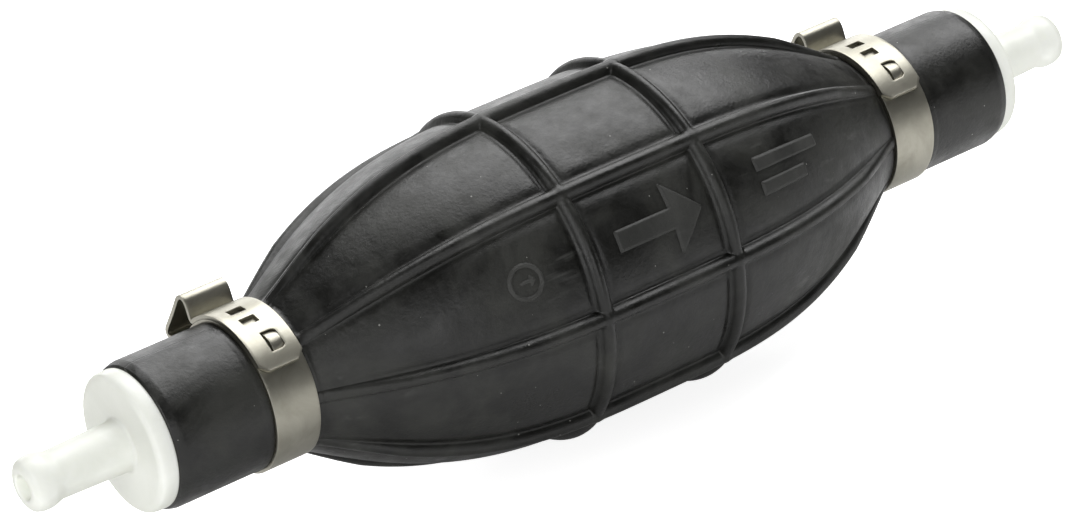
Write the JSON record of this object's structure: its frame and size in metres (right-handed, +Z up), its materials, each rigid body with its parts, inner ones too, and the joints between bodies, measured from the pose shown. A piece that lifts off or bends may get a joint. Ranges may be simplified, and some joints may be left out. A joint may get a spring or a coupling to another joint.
{
  "type": "fuel line primer bulb",
  "caption": "Hand-squeezed rubber siphon and primer bulb with a barbed hose fitting and a spring-loaded check valve in each clamped neck.",
  "frame": {"origin": "centre of the pump, on its long axis, halfway between the two barb tips", "axes": "+X along the flow, from the inlet barb to the outlet barb; -Y the side the thumb presses; +Z up, along the long rib on the bulb's parting line"},
  "size_m": [0.181, 0.049, 0.049],
  "materials": {
    "bulb_rubber": "black satin moulded rubber, lightly scuffed",
    "white_nylon": "milky white moulded nylon, slightly see-through",
    "stainless_strip": "rolled stainless strip, satin",
    "acetal": "natural moulded acetal",
    "seal_rubber": "smooth fuel-proof rubber",
    "spring_wire": "drawn stainless spring wire"
  },
  "bodies": {
    "body": {"bulb": "bulb_rubber", "inlet_fitting": "white_nylon", "outlet_fitting": "white_nylon", "inlet_clamp": "stainless_strip", "outlet_clamp": "stainless_strip", "inlet_valve_seat": "acetal", "outlet_valve_seat": "acetal", "inlet_seat_oring": "seal_rubber", "outlet_seat_oring": "seal_rubber", "inlet_spring": "spring_wire", "outlet_spring": "spring_wire", "inlet_spring_cage": "acetal", "outlet_spring_cage": "acetal"},
    "thumb_side": {"thumb_wall": "bulb_rubber"},
    "finger_side": {"finger_wall": "bulb_rubber"},
    "inlet_valve": {"inlet_poppet": "acetal", "inlet_poppet_seal": "seal_rubber"},
    "outlet_valve": {"outlet_poppet": "acetal", "outlet_poppet_seal": "seal_rubber"}
  },
  "joints": [
    {"name": "thumb_squeeze", "type": "slide", "parent": "body", "child": "thumb_side", "axis": [0, 1, 0], "range_m": [0, 0.008], "stiffness_N_per_m": 1500},
    {"name": "finger_squeeze", "type": "slide", "parent": "body", "child": "finger_side", "axis": [0, -1, 0], "range_m": [0, 0.008], "stiffness_N_per_m": 1500},
    {"name": "inlet_valve_lift", "type": "slide", "parent": "body", "child": "inlet_valve", "axis": [1, 0, 0], "range_m": [0, 0.0016], "stiffness_N_per_m": 60, "springref_m": -0.001, "deforming": ["inlet_spring"]},
    {"name": "outlet_valve_lift", "type": "slide", "parent": "body", "child": "outlet_valve", "axis": [1, 0, 0], "range_m": [0, 0.0016], "stiffness_N_per_m": 60, "springref_m": -0.001, "deforming": ["outlet_spring"]}
  ],
  "couplings": [
    {"joint": "finger_squeeze", "follows": "thumb_squeeze", "ratio": 1}
  ]
}
